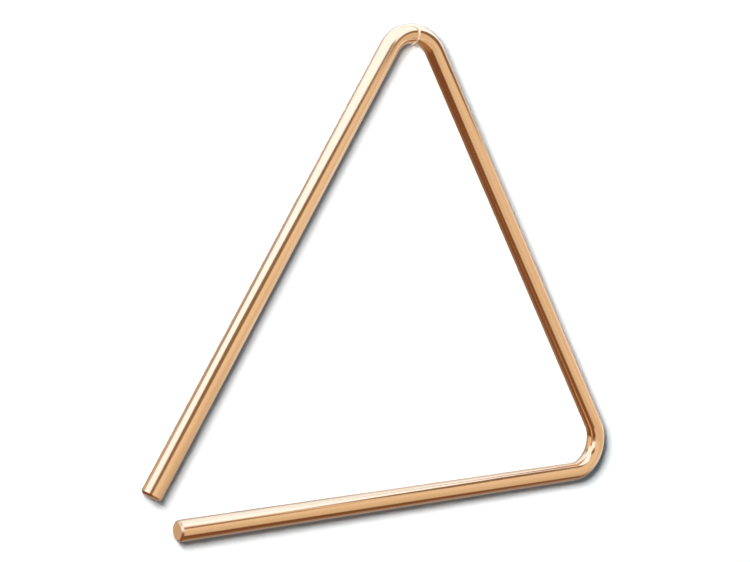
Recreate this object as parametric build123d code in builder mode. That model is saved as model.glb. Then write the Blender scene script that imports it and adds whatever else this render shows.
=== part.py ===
"""Concert triangle: one bent bronze bar, hung at its apex on a tied loop of clear nylon line.

The frame hangs as the instrument does: +Z is up, +X runs along the foot leg towards its closed
corner, and the origin is the axis of the peg that the loop hangs on. Lengths are in millimetres.
"""

import os
from math import asin, cos, pi, radians, sin, sqrt, tan

from build123d import *

# Bar: corners and lengths are those of its axis, before the bends round the corners off
bar_diameter = 8.0
leg_length = 237.0
foot_length = 250.0
bend_radius = 14.0
leg_end_gap = 16.5
foot_end_gap = 20.0
end_chamfer = 0.8

# Hanging line: a tight loop round the bar and the peg, with the same small gap at both
line_diameter = 0.6
line_gap = 0.1
peg_diameter = 6.0
hang_drop = 50.0

# Knot: two barrels of wraps, pulled together on the back strand, with trimmed tails
wraps_per_barrel = 3
barrels = 2
wrap_pitch = 0.62
core_radius = 0.62
wrap_radius = 0.34
wrap_sides = 8
knot_drop = 20.0
tail_length = 2.4
tail_offset = 0.66

# Share of a run that a bend in the line may use
run_share = 0.45
# Half of the turn at each of the four points that lead the line round a bar or a peg
eighth_half_turn = radians(22.5)

os.makedirs("parts", exist_ok=True)


def save(piece, name):
    """Labels a finished piece and writes it under its name."""
    piece.part.label = name
    export_step(piece.part, f"parts/{name}.step")


# Bar

bar_radius = bar_diameter / 2
half_foot = foot_length / 2
rise = sqrt(leg_length**2 - half_foot**2)
apex_half_angle = asin(half_foot / leg_length)
apex_axis_z = -hang_drop
apex_corner_z = apex_axis_z - bend_radius + bend_radius / sin(apex_half_angle)
foot_z = apex_corner_z - rise

apex_corner = (0, apex_corner_z)
closed_corner = (half_foot, foot_z)
leg_end_x = -half_foot + leg_end_gap * sin(apex_half_angle)
leg_end_z = foot_z + leg_end_gap * cos(apex_half_angle)
leg_end = (leg_end_x, leg_end_z)
foot_end = (-half_foot + foot_end_gap, foot_z)

with BuildPart() as triangle_bar:
    with BuildLine(Plane.XZ) as bar_axis:
        FilletPolyline(leg_end, apex_corner, closed_corner, foot_end, radius=bend_radius)
    bar_path = bar_axis.wires()[0]
    with BuildSketch(Plane(origin=bar_path @ 0, z_dir=bar_path % 0)):
        Circle(bar_radius)
    sweep(path=bar_path)
    chamfer(triangle_bar.faces().filter_by(GeomType.PLANE).edges(), length=end_chamfer)
save(triangle_bar, "triangle_bar")

# Hanging line, in the upright plane through the apex: up the back strand from the knot, over the
# peg, down the front strand, under the bar and up the back strand to the knot again

line_radius = line_diameter / 2
bar_turn = bar_radius + line_gap + line_radius
peg_turn = peg_diameter / 2 + line_gap + line_radius
bar_lead = bar_turn * tan(eighth_half_turn)
peg_lead = peg_turn * tan(eighth_half_turn)

strand_foot = Vector(bar_turn, apex_axis_z - bar_lead)
strand_head = Vector(peg_turn, peg_lead)
strand_run = (strand_head - strand_foot).normalized()
knot_length = barrels * wraps_per_barrel * wrap_pitch
knot_centre = strand_head - strand_run * knot_drop
knot_top = knot_centre + strand_run * (knot_length / 2)
knot_foot = knot_centre - strand_run * (knot_length / 2)

line_route = [
    (knot_top.X, knot_top.Y),
    (peg_turn, peg_lead),
    (peg_lead, peg_turn),
    (-peg_lead, peg_turn),
    (-peg_turn, peg_lead),
    (-bar_turn, apex_axis_z - bar_lead),
    (-bar_lead, apex_axis_z - bar_turn),
    (bar_lead, apex_axis_z - bar_turn),
    (bar_turn, apex_axis_z - bar_lead),
    (knot_foot.X, knot_foot.Y),
]


def bend_radii(route):
    """Radius at each inner point of a route, as large as the two runs beside the point allow."""
    points = [Vector(*point) for point in route]
    radii = []
    for before, corner, after in zip(points, points[1:], points[2:]):
        run_in = corner - before
        run_out = after - corner
        half_turn = radians(run_in.get_angle(run_out)) / 2
        radii.append(run_share * min(run_in.length, run_out.length) / tan(half_turn))
    return radii


line_radii = bend_radii(line_route)
with BuildPart() as hang_line:
    with BuildLine(Plane.YZ) as line_axis:
        FilletPolyline(*line_route, radius=line_radii)
    line_path = line_axis.wires()[0]
    with BuildSketch(Plane(origin=line_path @ 0, z_dir=line_path % 0)):
        Circle(line_radius)
    sweep(path=line_path)
save(hang_line, "hang_line")

# Knot, on the back strand between the line's two ends

strand_way = Plane.YZ.from_local_coords(strand_run)
knot_plane = Plane(
    origin=Plane.YZ.from_local_coords(knot_foot),
    x_dir=strand_way.cross(Vector(1, 0, 0)),
    z_dir=Vector(1, 0, 0),
)
knot_axis = Axis(knot_plane.origin, strand_way)
wrap_heights = [(index + 1 / 2) * wrap_pitch for index in range(barrels * wraps_per_barrel)]

with BuildPart() as line_knot:
    with BuildSketch(knot_plane):
        with Locations((core_radius / 2, knot_length / 2)):
            Rectangle(core_radius, knot_length)
        with Locations(*[(core_radius, height) for height in wrap_heights]):
            RegularPolygon(wrap_radius, wrap_sides)
    revolve(axis=knot_axis)
    for side, start in ((1, knot_axis.position + strand_way * knot_length), (-1, knot_axis.position)):
        tail_plane = Plane(origin=start + Vector(tail_offset, 0, 0) * side, z_dir=strand_way * side)
        with BuildSketch(tail_plane):
            Circle(line_radius)
        extrude(amount=tail_length)
save(line_knot, "line_knot")

bar_section = pi * bar_radius**2
line_section = pi * line_radius**2
bar_fill = triangle_bar.part.volume / (bar_section * bar_path.length)
line_fill = hang_line.part.volume / (line_section * line_path.length)
print("bar length", round(bar_path.length, 2), "mm")
print("bar volume over section times length", round(bar_fill, 5))
print("line length", round(line_path.length, 2), "mm")
print("line bend radii", [round(radius, 2) for radius in line_radii], "mm")
print("line volume over section times length", round(line_fill, 5))
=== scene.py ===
from functools import reduce
from math import asin, cos, pi, radians, sin, sqrt, tan
from operator import mul

import bmesh
import bpy
from mathutils import Matrix, Vector


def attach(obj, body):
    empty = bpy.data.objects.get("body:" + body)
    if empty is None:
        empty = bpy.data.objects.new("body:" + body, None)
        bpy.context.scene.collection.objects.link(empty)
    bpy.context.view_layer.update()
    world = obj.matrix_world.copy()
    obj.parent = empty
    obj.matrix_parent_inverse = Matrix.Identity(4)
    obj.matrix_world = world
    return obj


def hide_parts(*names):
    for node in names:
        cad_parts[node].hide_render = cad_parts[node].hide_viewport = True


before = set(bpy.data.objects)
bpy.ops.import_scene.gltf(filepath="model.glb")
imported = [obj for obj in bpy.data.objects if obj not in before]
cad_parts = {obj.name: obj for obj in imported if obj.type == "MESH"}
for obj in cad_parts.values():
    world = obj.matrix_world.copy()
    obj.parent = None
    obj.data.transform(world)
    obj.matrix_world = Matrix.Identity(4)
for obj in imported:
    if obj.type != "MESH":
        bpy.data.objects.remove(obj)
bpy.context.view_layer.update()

# A bronze triangle on a loop of clear line, in metres and in the CAD model's frame: +X runs along
# the foot leg, +Z is up, and the origin is on the axis of the peg that the loop hangs on
mm = 0.001

# Bar, with the lengths of its axis before the bends round the corners off
bar_radius = 4.0 * mm
leg_length = 237.0 * mm
foot_length = 250.0 * mm
bend_radius = 14.0 * mm
leg_end_gap = 16.5 * mm
foot_end_gap = 20.0 * mm
end_chamfer = 0.8 * mm
bar_sides = 96
run_steps = 12
bend_steps = 48
crease_angle = radians(30)

# Hanging line, and its route in millimetres: depths and heights of points that lead it up the back
# from the knot, over the peg, down the front, under the bar and up the back to the knot
line_diameter = 0.6 * mm
hang_drop = 50.0 * mm
line_route = [
    (3.741, -16.73),
    (3.468, -2.2),
    (3.4, 1.408),
    (1.408, 3.4),
    (-1.408, 3.4),
    (-3.4, 1.408),
    (-3.468, -2.2),
    (-4.332, -48.2),
    (-4.4, -51.82),
    (-1.82, -54.4),
    (1.82, -54.4),
    (4.4, -51.82),
    (4.332, -48.2),
    (3.811, -20.45),
]
line_steps = 16
line_roundness = 5

# Knot
barrels = 2
wraps_per_barrel = 3
wrap_pitch = 0.62 * mm
wrap_centre_radius = 0.62 * mm
wrap_thickness_radius = 0.32 * mm
core_offset = 0.3 * mm
tail_length = 2.4 * mm
tail_offset = 0.66 * mm
wrap_sides = 14
wrap_steps = 28

# Polished bronze. Each pattern has its marks to a metre, across the bar both ways and along it, and
# its detail, and lies on the bar as it was before it was bent
straight_bar = "straight"
bronze_grain = ((5000.0, 5000.0, 45.0), 3.0)
bronze_streaks = ((900.0, 900.0, 18.0), 2.0)
bronze_tone = ((70.0, 70.0, 32.0), 3.0)
bronze_dark = (0.80, 0.477, 0.232, 1.0)
bronze_light = (0.86, 0.528, 0.273, 1.0)
bronze_roughness = 0.10
grain_roughness = 0.05
streak_roughness = 0.05
grain_strength = 0.06
grain_depth = 0.02 * mm

# Cut ends of the bar, with rings to a metre from its axis
cut_slot = 1
across_bar = (1.0, 1.0, 0.0)
cut_rings = 9000.0
cut_ring_detail = 2.0
cut_tone = ((500.0, 500.0, 500.0), 3.0)
cut_dark = (0.74, 0.45, 0.22, 1.0)
cut_light = (0.84, 0.54, 0.28, 1.0)
cut_roughness = 0.26
ring_roughness = 0.12
ring_strength = 0.12
ring_depth = 0.03 * mm

# Clear nylon
nylon_cloud = ((2500.0, 2500.0, 600.0), 2.0)
nylon_dark = (0.86, 0.80, 0.72, 1.0)
nylon_light = (0.92, 0.86, 0.78, 1.0)
nylon_roughness = 0.10
cloud_roughness = 0.10
nylon_ior = 1.53
nylon_specular = 0.2
nylon_clearness = 0.9

# Camera, on the left of the triangle and level with it, and the ways to its right and ahead of it
camera_place = Vector((-365.62, -450.48, -108.11)) * mm
camera_heading = radians(37.80)
camera_pitch = radians(-4.131)
camera_roll = radians(1.348)
camera_lens = 68.74
camera_near = 10.0 * mm
sensor_width = 36.0
right_way = Vector((cos(camera_heading), -sin(camera_heading), 0))
deep_way = Vector((sin(camera_heading), cos(camera_heading), 0))
up_way = Vector((0, 0, 1))

# White paper behind and below the triangle
wall_gap = 0.9 * mm
wall_rise = 900.0 * mm
wall_glow = 0.0
floor_drop = 420.0 * mm
floor_glow = 0.45
paper_reach = 3000.0 * mm
paper_white = (0.9, 0.9, 0.9, 1.0)
paper_hidden_from = ("glossy", "diffuse", "shadow")

# Key lamp, which throws the drop shadow
key_place = Vector((-368.0, -324.0, -8.0)) * mm
key_radius = 78.0 * mm
key_energy = 1.0
key_strength = 134.0

# Softbox, overhead
softbox_width = 1473.0 * mm
softbox_depth = 588.0 * mm
softbox_rise = 206.0 * mm
softbox_left = 348.0 * mm
softbox_front = 110.0 * mm
softbox_heading = radians(20.4)
pale_glow = (1.4, 1.9, 3.1, 1.0)

# Cards that the bar mirrors, in millimetres: on the right, with their corners' depths and heights
card_hidden_from = ("camera", "diffuse", "transmission", "shadow")
card_right = 365.0
mid_glow = (0.8, 0.85, 1.05, 1.0)
mid_card_corners = (
    (-300, 114), (-240, 92), (-200, 68), (-160, 54), (-135, 62), (-105, 88), (-75, 112),
)
dark_glow = (0.27, 0.21, 0.16, 1.0)
dark_card_corners = (
    *mid_card_corners, (0, 132), (215, 132), (170, 20), (150, -20), (100, -34), (0, -34),
    (-60, -30), (-100, -24), (-125, -14), (-180, 14), (-300, 78),
)
pale_card_corners = (
    (-300, 270), (-300, 114), (-75, 112), (0, 132), (215, 132), (240, 105), (330, 70),
    (450, 120), (450, 400), (330, 400), (200, 270),
)
corner_card_right = 120.0
corner_glow = (0.98, 0.98, 1.02, 1.0)
corner_card_corners = (
    (66, -224), (60, -206), (25, -196), (0, -172), (-45, -118), (-150, -5), (-165, -22),
    (-140, -60), (-75, -135), (-25, -195), (10, -215), (40, -226),
)

# Cards that lie below the triangle, with how far right and how deep their corners are
table_height = -260.0
table_glow = (0.86, 0.83, 0.82, 1.0)
table_card_corners = (
    (22, -118), (52, -81), (74, -42), (96, -5), (112, 30), (130, 32), (165, 10), (221, 28),
    (330, 80), (600, 200), (600, -185), (120, -185), (45, -162), (20, -140),
)
table_back_glow = (0.95, 0.97, 1.05, 1.0)
table_back_corners = (
    (140, 60), (150, 95), (165, 200), (185, 330), (330, 400), (420, 300), (420, 230),
    (300, 118), (221, 62), (170, 45),
)

# Room that the bar mirrors, painted by direction, each panel over those before it. A panel starts
# or ends between the two sides of a soft edge, from -1 to 1 along a way, or fades in evenly there
lower_room = (0.23, 0.12, 0.078, 1.0)
room_panels = {
    "upper_room": {
        "colour": (0.29, 0.23, 0.17, 1.0),
        "starts": {"up": (-0.33, -0.2)},
    },
    "underneath": {
        "colour": (0.42, 0.25, 0.14, 1.0),
        "ends": {"up": (-0.94, -0.84)},
    },
    "low_back": {
        "colour": (0.40, 0.35, 0.33, 1.0),
        "starts": {"deep": (0.3, 0.45)},
        "ends": {"up": (-0.54, -0.44)},
    },
    "backdrop": {
        "colour": (1.1, 1.3, 1.6, 1.0),
        "starts": {"deep": (0.2, 0.67)},
        "fades": {"up": (-0.4, 1.0)},
    },
    "behind": {
        "colour": (0.80, 0.80, 0.82, 1.0),
        "starts": {"deep": (0.8, 0.95)},
    },
    "dark_panel": {
        "colour": (0.20, 0.16, 0.12, 1.0),
        "starts": {"right": (-0.62, -0.52), "up": (-0.14, -0.06), "deep": (0.6, 0.7)},
        "ends": {"right": (-0.07, 0.0), "up": (0.24, 0.32)},
    },
    "back_panel": {
        "colour": (1.1, 1.6, 2.6, 1.0),
        "starts": {"deep": (0.1, 0.25), "up": (0.55, 0.65)},
    },
    "right_panel": {
        "colour": (1.4, 1.8, 2.7, 1.0),
        "starts": {"right": (0.4, 0.55), "deep": (-0.15, -0.05), "up": (0.57, 0.65)},
    },
    "front_panel": {
        "colour": (1.5, 1.84, 2.85, 1.0),
        "starts": {"right": (-0.75, -0.65), "up": (-0.1, 0.0)},
        "ends": {"right_and_up": (0.0, 0.1), "deep": (-0.65, -0.55)},
    },
    "left_card": {
        "colour": (0.98, 0.90, 0.84, 1.0),
        "starts": {"left": (0.8, 0.9), "up": (-0.4, -0.25)},
    },
}
front_panel_slant = 0.5

# Front of the room, in two tones, with a foot that slopes and a top that is raised at the right and
# lowered at the left, and the panel on it
front_dark = (0.75, 0.73, 0.70, 1.0)
front_light = (1.03, 1.02, 1.05, 1.0)
front_tone_slope = 0.6
front_tone_edge = (-0.5, 0.5)
front_edges = {
    "starts": {"foot": (-0.65, -0.57), "right": (-0.12, 0.0)},
    "ends": {"top": (0.34, 0.39), "far_side": (0.78, 0.88)},
}
foot_slope = 0.193
top_raise = 0.25
top_raised = {"starts": {"right": (0.65, 0.8), "deep": (-0.25, -0.1)}}
top_drop = 0.08
top_lowered = {"ends": {"right": (0.25, 0.45)}}
far_side_step = 0.2
far_side_stepped = {"starts": {"up": (-0.1, 0.0)}}
right_card_glow = (1.1, 1.2, 1.45, 1.0)
right_card_edges = {
    "starts": {"deep": (0.15, 0.3), "up": (-0.45, -0.3)},
    "ends": {"up": (0.14, 0.3)},
}

# What other rays meet in place of the room
room_light = (0.072, 0.102, 0.118, 1.0)
ground_white = (1.0, 1.0, 1.0, 1.0)

# Sockets of a Mix node that hold colours
mix_first = 6
mix_second = 7
mix_result = 2


class Value:
    """What a socket gives, for expressions in which each operation adds a Math node."""

    def __init__(self, tree, socket):
        self.tree = tree
        self.socket = socket

    def maths(self, operation, first, second):
        node = add(self.tree, "ShaderNodeMath", {"operation": operation}, {0: first, 1: second})
        return out(self.tree, node)

    def __add__(self, other):
        return self.maths("ADD", self, other)

    def __radd__(self, other):
        return self.maths("ADD", other, self)

    def __sub__(self, other):
        return self.maths("SUBTRACT", self, other)

    def __rsub__(self, other):
        return self.maths("SUBTRACT", other, self)

    def __mul__(self, other):
        return self.maths("MULTIPLY", self, other)

    def __rmul__(self, other):
        return self.maths("MULTIPLY", other, self)


def add(tree, kind, settings=None, sockets=None):
    """Adds a node, with its settings first and then the values or links of its sockets."""
    node = tree.nodes.new(kind)
    for name, value in (settings or {}).items():
        setattr(node, name, value)
    for name, value in (sockets or {}).items():
        if isinstance(value, Value):
            tree.links.new(value.socket, node.inputs[name])
        else:
            node.inputs[name].default_value = value
    return node


def out(tree, node, name=0):
    """What a node's output gives."""
    return Value(tree, node.outputs[name])


def new_material(name):
    """An empty material and its tree of nodes."""
    material = bpy.data.materials.new(name)
    material.use_nodes = True
    material.node_tree.nodes.clear()
    return material, material.node_tree


def end_material(tree, shader):
    """Leads a shader to the material's surface."""
    add(tree, "ShaderNodeOutputMaterial", {}, {"Surface": out(tree, shader)})


def mix_colour(tree, factor, first, second):
    """The first colour where the factor is 0, and the second where it is 1."""
    node = add(
        tree,
        "ShaderNodeMix",
        {"data_type": "RGBA"},
        {"Factor": factor, mix_first: first, mix_second: second},
    )
    return out(tree, node, mix_result)


def noise(tree, place, stretch, detail):
    """Noise of about one feature a unit, after the place is multiplied by the stretch."""
    scaled = add(tree, "ShaderNodeVectorMath", {"operation": "MULTIPLY"}, {0: place, 1: stretch})
    node = add(
        tree,
        "ShaderNodeTexNoise",
        {},
        {"Vector": out(tree, scaled), "Scale": 1.0, "Detail": detail},
    )
    return out(tree, node, "Fac")


def on_straight_bar(tree):
    """Place on the bar as it was before it was bent, with its axis along Z."""
    return out(tree, add(tree, "ShaderNodeAttribute", {"attribute_name": straight_bar}), "Vector")


def end_metal(tree, colour, roughness, height, strength, depth):
    """Ends a metal with its colour, its roughness and the relief of its marks."""
    relief = add(
        tree,
        "ShaderNodeBump",
        {},
        {"Strength": strength, "Distance": depth, "Height": height},
    )
    shader = add(
        tree,
        "ShaderNodeBsdfPrincipled",
        {},
        {
            "Base Color": colour,
            "Metallic": 1.0,
            "Roughness": roughness,
            "Normal": out(tree, relief),
        },
    )
    end_material(tree, shader)


def polished_bronze():
    """Buffed bronze: fine marks along the bar, and a slightly uneven tone."""
    material, tree = new_material("polished_bronze")
    place = on_straight_bar(tree)
    grain = noise(tree, place, *bronze_grain)
    streaks = noise(tree, place, *bronze_streaks)
    colour = mix_colour(tree, noise(tree, place, *bronze_tone), bronze_dark, bronze_light)
    roughness = bronze_roughness + grain * grain_roughness + streaks * streak_roughness
    end_metal(tree, colour, roughness, grain, grain_strength, grain_depth)
    return material


def cut_bronze():
    """Turned end faces: fine rings about the bar's axis, and less shine than the sides."""
    material, tree = new_material("cut_bronze")
    place = on_straight_bar(tree)
    across = add(
        tree,
        "ShaderNodeVectorMath",
        {"operation": "MULTIPLY"},
        {0: place, 1: across_bar},
    )
    from_axis = add(tree, "ShaderNodeVectorMath", {"operation": "LENGTH"}, {0: out(tree, across)})
    rings = add(
        tree,
        "ShaderNodeTexNoise",
        {"noise_dimensions": "1D"},
        {"W": out(tree, from_axis, "Value") * cut_rings, "Scale": 1.0, "Detail": cut_ring_detail},
    )
    ring_height = out(tree, rings, "Fac")
    colour = mix_colour(tree, noise(tree, place, *cut_tone), cut_dark, cut_light)
    roughness = cut_roughness + ring_height * ring_roughness
    end_metal(tree, colour, roughness, ring_height, ring_strength, ring_depth)
    return material


def clear_nylon():
    """Clear drawn nylon, a little cloudy where it has been pulled."""
    material, tree = new_material("clear_nylon")
    place = out(tree, add(tree, "ShaderNodeTexCoord"), "Object")
    cloud = noise(tree, place, *nylon_cloud)
    shader = add(
        tree,
        "ShaderNodeBsdfPrincipled",
        {},
        {
            "Base Color": mix_colour(tree, cloud, nylon_dark, nylon_light),
            "Roughness": nylon_roughness + cloud * cloud_roughness,
            "IOR": nylon_ior,
            "Specular IOR Level": nylon_specular,
            "Transmission Weight": nylon_clearness,
        },
    )
    end_material(tree, shader)
    return material


def new_object(name, data):
    """An object of the scene, at the origin."""
    thing = bpy.data.objects.new(name, data)
    bpy.context.collection.objects.link(thing)
    return thing


def new_mesh(bm, name, materials):
    """A mesh from a bmesh, which is used up."""
    mesh = bpy.data.meshes.new(name)
    bm.to_mesh(mesh)
    bm.free()
    for material in materials:
        mesh.materials.append(material)
    return mesh


def finish_mesh(bm, name, body, node, materials):
    """Turns a bmesh into a piece that rides on a body and stands for a node."""
    bmesh.ops.recalc_face_normals(bm, faces=bm.faces)
    mesh = new_mesh(bm, name, materials)
    mesh.shade_smooth()
    mesh.set_sharp_from_angle(angle=crease_angle)
    piece = new_object(name, mesh)
    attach(piece, body)
    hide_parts(node)
    return piece


def new_ring(bm, edges):
    """Extrudes a ring of edges, and gives the new ring's vertices and edges."""
    grown = bmesh.ops.extrude_edge_only(bm, edges=edges)["geom"]
    verts = [item for item in grown if isinstance(item, bmesh.types.BMVert)]
    others = [item for item in grown if isinstance(item, bmesh.types.BMEdge)]
    ring = set(verts)
    return verts, [edge for edge in others if ring.issuperset(edge.verts)]


def lengthen(bm, straight, edges, length):
    """Adds a ring at the bar's end, with its place on the straight bar, for the caller to move."""
    verts, edges = new_ring(bm, edges)
    for vert in verts:
        vert[straight] += Vector((0, 0, length))
    return verts, edges


def draw_run(bm, straight, edges, run):
    """Draws the bar's end ring along a straight run."""
    for _ in range(run_steps):
        verts, edges = lengthen(bm, straight, edges, run.length / run_steps)
        bmesh.ops.translate(bm, verts=verts, vec=run / run_steps)
    return edges


def draw_bend(bm, straight, edges, centre, turn):
    """Draws the bar's end ring round a bend's centre."""
    step_turn = Matrix.Rotation(turn / bend_steps, 3, "Y")
    for _ in range(bend_steps):
        verts, edges = lengthen(bm, straight, edges, bend_radius * turn / bend_steps)
        bmesh.ops.rotate(bm, verts=verts, cent=centre, matrix=step_turn)
    return edges


def triangle_bar(materials):
    """The bar: a ring drawn up the slanting leg, over the apex, down and along the foot."""
    half_foot = foot_length / 2
    apex_half_angle = asin(half_foot / leg_length)
    corner_angle = pi / 2 - apex_half_angle
    rise = sqrt(leg_length**2 - half_foot**2)
    apex_centre = Vector((0, 0, -hang_drop - bend_radius))
    apex_corner_z = apex_centre.z + bend_radius / sin(apex_half_angle)
    foot_z = apex_corner_z - rise
    apex_setback = bend_radius / tan(apex_half_angle)
    corner_setback = bend_radius / tan(corner_angle / 2)
    corner_centre = Vector((half_foot - corner_setback, 0, foot_z + bend_radius))
    up_leg = Vector((sin(apex_half_angle), 0, cos(apex_half_angle)))
    down_leg = Vector((sin(apex_half_angle), 0, -cos(apex_half_angle)))
    along_foot = Vector((-1, 0, 0))
    leg_end = Vector((-half_foot, 0, foot_z)) + up_leg * leg_end_gap
    first_run = up_leg * (leg_length - leg_end_gap - apex_setback)
    second_run = down_leg * (leg_length - apex_setback - corner_setback)
    foot_run = along_foot * (foot_length - corner_setback - foot_end_gap)

    bm = bmesh.new()
    straight = bm.verts.layers.float_vector.new(straight_bar)
    place = Matrix.Translation(leg_end) @ Matrix.Rotation(apex_half_angle, 4, "Y")
    bmesh.ops.create_circle(bm, segments=bar_sides, radius=bar_radius, matrix=place)
    for vert in bm.verts:
        vert[straight] = place.inverted() @ vert.co
    first_edges = list(bm.edges)
    edges = draw_run(bm, straight, first_edges, first_run)
    edges = draw_bend(bm, straight, edges, apex_centre, pi - 2 * apex_half_angle)
    edges = draw_run(bm, straight, edges, second_run)
    edges = draw_bend(bm, straight, edges, corner_centre, pi - corner_angle)
    last_edges = draw_run(bm, straight, edges, foot_run)
    rims = [*first_edges, *last_edges]
    bmesh.ops.edgeloop_fill(bm, edges=first_edges, mat_nr=cut_slot)
    bmesh.ops.edgeloop_fill(bm, edges=last_edges, mat_nr=cut_slot)
    bmesh.ops.recalc_face_normals(bm, faces=bm.faces)
    bmesh.ops.bevel(
        bm,
        geom=rims,
        offset=end_chamfer,
        offset_type="OFFSET",
        affect="EDGES",
        segments=1,
        profile=0.5,
        material=-1,
    )
    return finish_mesh(bm, "bronze_bar", "bar", "triangle_bar", materials)


def hanging_line(nylon):
    """The loop's line, on one smooth curve along its route."""
    curve = bpy.data.curves.new("hanging_line", "CURVE")
    curve.dimensions = "3D"
    spline = curve.splines.new("NURBS")
    spline.points.add(len(line_route) - 1)
    for point, (y, z) in zip(spline.points, line_route):
        point.co = (0, y * mm, z * mm, 1)
    spline.order_u = 3
    spline.use_endpoint_u = True
    spline.resolution_u = line_steps
    curve.bevel_depth = line_diameter / 2
    curve.bevel_resolution = line_roundness
    curve.use_fill_caps = True
    curve.materials.append(nylon)
    piece = new_object("hanging_line", curve)
    piece.visible_shadow = False
    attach(piece, "line")
    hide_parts("hang_line")
    return piece


def line_circle(bm, radius, place):
    """A ring to draw a piece of line from, as its edges."""
    made = bmesh.ops.create_circle(bm, segments=wrap_sides, radius=radius, matrix=place)
    ring = set(made["verts"])
    return [edge for edge in bm.edges if ring.issuperset(edge.verts)]


def close_ends(bm, first_edges, last_edges):
    """Closes both ends of a piece of line."""
    bmesh.ops.edgeloop_fill(bm, edges=first_edges)
    bmesh.ops.edgeloop_fill(bm, edges=last_edges)


def straight_line(bm, place, run):
    """A short straight piece of line."""
    first_edges = line_circle(bm, line_diameter / 2, place)
    verts, last_edges = new_ring(bm, first_edges)
    bmesh.ops.translate(bm, verts=verts, vec=run)
    close_ends(bm, first_edges, last_edges)


def line_knot(nylon):
    """Two barrels of wraps drawn together on the back strand, with their trimmed tails."""
    foot = Vector((0, *line_route[-1])) * mm
    top = Vector((0, *line_route[0])) * mm
    way = (top - foot).normalized()
    upright = Matrix.Translation(foot) @ up_way.rotation_difference(way).to_matrix().to_4x4()
    barrel_length = wraps_per_barrel * wrap_pitch
    steps = wraps_per_barrel * wrap_steps
    bm = bmesh.new()
    for side in (1, -1):
        place = upright @ Matrix.Translation((core_offset * side, 0, 0))
        straight_line(bm, place, top - foot)
    for barrel in range(barrels):
        start = upright @ Matrix.Rotation(barrel * pi, 4, "Z")
        start = start @ Matrix.Translation((wrap_centre_radius, 0, barrel * barrel_length))
        across_strand = start @ Matrix.Rotation(pi / 2, 4, "X")
        first_edges = line_circle(bm, wrap_thickness_radius, across_strand)
        wound = bmesh.ops.spin(
            bm,
            geom=first_edges,
            cent=foot,
            axis=way,
            dvec=way * (barrel_length / steps),
            angle=wraps_per_barrel * 2 * pi,
            steps=steps,
        )["geom_last"]
        last_edges = [item for item in wound if isinstance(item, bmesh.types.BMEdge)]
        close_ends(bm, first_edges, last_edges)
    for side, height in ((1, barrels * barrel_length), (-1, 0)):
        place = upright @ Matrix.Translation((tail_offset * side, 0, height))
        straight_line(bm, place, way * tail_length * side)
    piece = finish_mesh(bm, "line_knot_wraps", "line", "line_knot", [nylon])
    piece.visible_shadow = False
    return piece


def camera():
    """The camera that the scene is seen by."""
    lens = bpy.data.cameras.new("camera")
    lens.lens = camera_lens
    lens.sensor_width = sensor_width
    lens.sensor_fit = "HORIZONTAL"
    lens.clip_start = camera_near
    eye = new_object("camera", lens)
    eye.matrix_world = (
        Matrix.Translation(camera_place)
        @ Matrix.Rotation(-camera_heading, 4, "Z")
        @ Matrix.Rotation(pi / 2 + camera_pitch, 4, "X")
        @ Matrix.Rotation(camera_roll, 4, "Z")
    )
    bpy.context.scene.camera = eye


def studio_plane(bm, name, material, hidden_from):
    """A plane of the studio, which some kinds of rays don't meet."""
    plane = new_object(name, new_mesh(bm, name, [material]))
    for rays in hidden_from:
        setattr(plane, f"visible_{rays}", False)


def pale_paper(name, glow):
    """Matt white paper, open from its back, with a glow that only the camera sees."""
    material, tree = new_material(name)
    paint = add(tree, "ShaderNodeBsdfDiffuse", {}, {"Color": paper_white})
    seen = out(tree, add(tree, "ShaderNodeLightPath"), "Is Camera Ray")
    light = add(tree, "ShaderNodeEmission", {}, {"Strength": seen * glow})
    lit = add(tree, "ShaderNodeAddShader", {}, {0: out(tree, paint), 1: out(tree, light)})
    back = out(tree, add(tree, "ShaderNodeNewGeometry"), "Backfacing")
    clear = add(tree, "ShaderNodeBsdfTransparent")
    shader = add(tree, "ShaderNodeMixShader", {}, {0: back, 1: out(tree, lit), 2: out(tree, clear)})
    end_material(tree, shader)
    return material


def paper(name, place, glow):
    """A large sheet of the pale paper, stretched flat."""
    bm = bmesh.new()
    bmesh.ops.create_grid(bm, x_segments=1, y_segments=1, size=paper_reach / 2, matrix=place)
    studio_plane(bm, name, pale_paper(f"{name}_paper", glow), paper_hidden_from)


def stage():
    """The wall close behind the bar, which carries its shadow, and the floor far below it."""
    wall = Matrix.Translation((0, bar_radius + wall_gap, wall_rise - paper_reach / 2))
    paper("wall", wall @ Matrix.Rotation(pi / 2, 4, "X"), wall_glow)
    paper("floor", Matrix.Translation((0, 0, -floor_drop)), floor_glow)


def places(corners):
    """Places of corners that are given to the right, in depth and in height as the camera heads."""
    return [(right_way * right + deep_way * deep + up_way * up) * mm for right, deep, up in corners]


def beside(right, corners):
    """Places of an upright card's corners on the triangle's right."""
    return places([(right, deep, up) for deep, up in corners])


def beneath(up, corners):
    """Places of a level card's corners below the triangle."""
    return places([(right, deep, up) for right, deep in corners])


def overhead():
    """Places of the softbox's corners."""
    turn = Matrix.Rotation(-softbox_heading, 4, "Z")
    middle = turn @ Matrix.Translation((-softbox_left, -softbox_front, softbox_rise))
    sides = ((-1, -1), (1, -1), (1, 1), (-1, 1))
    return [middle @ Vector((x * softbox_width / 2, y * softbox_depth / 2, 0)) for x, y in sides]


def card(name, corners, colour):
    """A flat glowing card, which only shows in the polished bar."""
    material, tree = new_material(name)
    end_material(tree, add(tree, "ShaderNodeEmission", {}, {"Color": colour}))
    bm = bmesh.new()
    bm.faces.new([bm.verts.new(corner) for corner in corners])
    studio_plane(bm, name, material, card_hidden_from)


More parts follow.
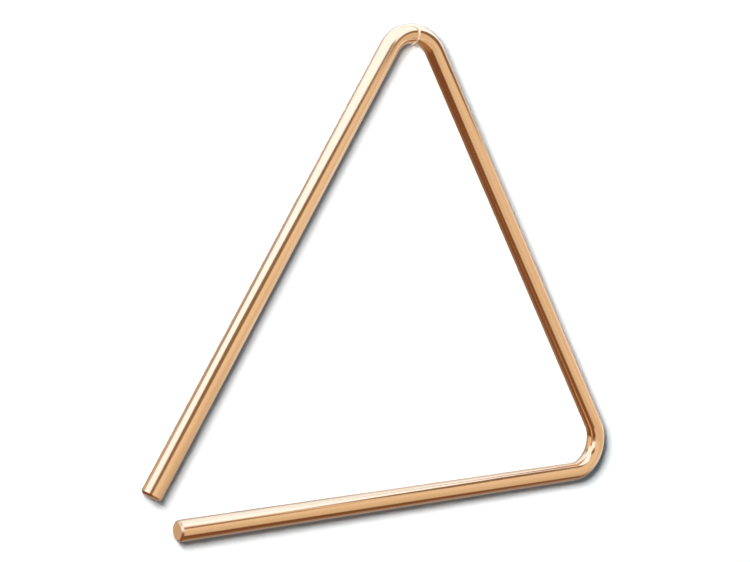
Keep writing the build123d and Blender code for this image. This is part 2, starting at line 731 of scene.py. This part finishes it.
def key_lamp():
    """A soft lamp, equally bright at every distance, that the bar doesn't mirror."""
    light = bpy.data.lights.new("key", "POINT")
    light.energy = key_energy
    light.shadow_soft_size = key_radius
    light.use_nodes = True
    tree = light.node_tree
    tree.nodes.clear()
    falloff = add(tree, "ShaderNodeLightFalloff", {}, {"Strength": key_strength})
    reach = out(tree, add(tree, "ShaderNodeLightPath"), "Ray Length")
    glow = add(tree, "ShaderNodeEmission", {}, {"Strength": out(tree, falloff, "Constant") * reach})
    add(tree, "ShaderNodeOutputLight", {}, {"Surface": out(tree, glow)})
    key = new_object("key", light)
    key.matrix_world = Matrix.Translation(key_place)
    key.visible_camera = False
    key.visible_glossy = False


def lights():
    """The softbox, the cards that the bar mirrors, and the key lamp."""
    card("softbox", overhead(), pale_glow)
    card("dark_card", beside(card_right, dark_card_corners), dark_glow)
    card("mid_card", beside(card_right, mid_card_corners), mid_glow)
    card("pale_card", beside(card_right, pale_card_corners), pale_glow)
    card("corner_card", beside(corner_card_right, corner_card_corners), corner_glow)
    card("table_card", beneath(table_height, table_card_corners), table_glow)
    card("table_back", beneath(table_height, table_back_corners), table_back_glow)
    key_lamp()


def along(tree, direction, way):
    """How far a direction points along a way."""
    node = add(tree, "ShaderNodeVectorMath", {"operation": "DOT_PRODUCT"}, {0: direction, 1: way})
    return out(tree, node, "Value")


def step(tree, value, edge, rise="SMOOTHSTEP"):
    """0 before an edge and 1 after it."""
    low, high = edge
    node = add(
        tree,
        "ShaderNodeMapRange",
        {"interpolation_type": rise},
        {"Value": value, "From Min": low, "From Max": high},
    )
    return out(tree, node)


def panel(tree, ways, edges):
    """1 within a panel's edges and 0 outside them."""
    starts = [step(tree, ways[way], edge) for way, edge in edges.get("starts", {}).items()]
    ends = [1 - step(tree, ways[way], edge) for way, edge in edges.get("ends", {}).items()]
    fades = [step(tree, ways[way], edge, "LINEAR") for way, edge in edges.get("fades", {}).items()]
    return reduce(mul, starts + ends + fades)


def mirrored_room(tree):
    """The room's colour by direction."""
    direction = out(tree, add(tree, "ShaderNodeTexCoord"), "Generated")
    right = along(tree, direction, right_way)
    deep = along(tree, direction, deep_way)
    up = along(tree, direction, up_way)
    ways = {
        "right": right,
        "left": right * -1,
        "deep": deep,
        "up": up,
        "right_and_up": right + up * front_panel_slant,
        "foot": up - foot_slope * deep,
    }
    top = up - top_raise * panel(tree, ways, top_raised)
    ways["top"] = top + top_drop * panel(tree, ways, top_lowered)
    ways["far_side"] = deep + far_side_step * panel(tree, ways, far_side_stepped)
    room = lower_room
    for edges in room_panels.values():
        room = mix_colour(tree, panel(tree, ways, edges), room, edges["colour"])
    front = panel(tree, ways, front_edges)
    tone = step(tree, up - front_tone_slope * deep, front_tone_edge, "LINEAR")
    room = mix_colour(tree, front, room, mix_colour(tree, tone, front_dark, front_light))
    return mix_colour(tree, front * panel(tree, ways, right_card_edges), room, right_card_glow)


def studio_world():
    """White for the camera and through the line, the room for the bar, and dim light elsewhere."""
    world = bpy.data.worlds.new("studio")
    bpy.context.scene.world = world
    world.use_nodes = True
    tree = world.node_tree
    tree.nodes.clear()
    path = add(tree, "ShaderNodeLightPath")
    seen = out(tree, path, "Is Camera Ray") + out(tree, path, "Is Transmission Ray")
    mirrored = out(tree, path, "Is Glossy Ray")
    light = mix_colour(tree, mirrored, room_light, mirrored_room(tree))
    colour = mix_colour(tree, seen, light, ground_white)
    shader = add(tree, "ShaderNodeBackground", {}, {"Color": colour})
    add(tree, "ShaderNodeOutputWorld", {}, {"Surface": out(tree, shader)})


camera()
nylon = clear_nylon()
line = hanging_line(nylon)
knot = line_knot(nylon)
triangle_bar([polished_bronze(), cut_bronze()])
stage()
lights()
studio_world()
bpy.context.scene.view_settings.view_transform = "Standard"
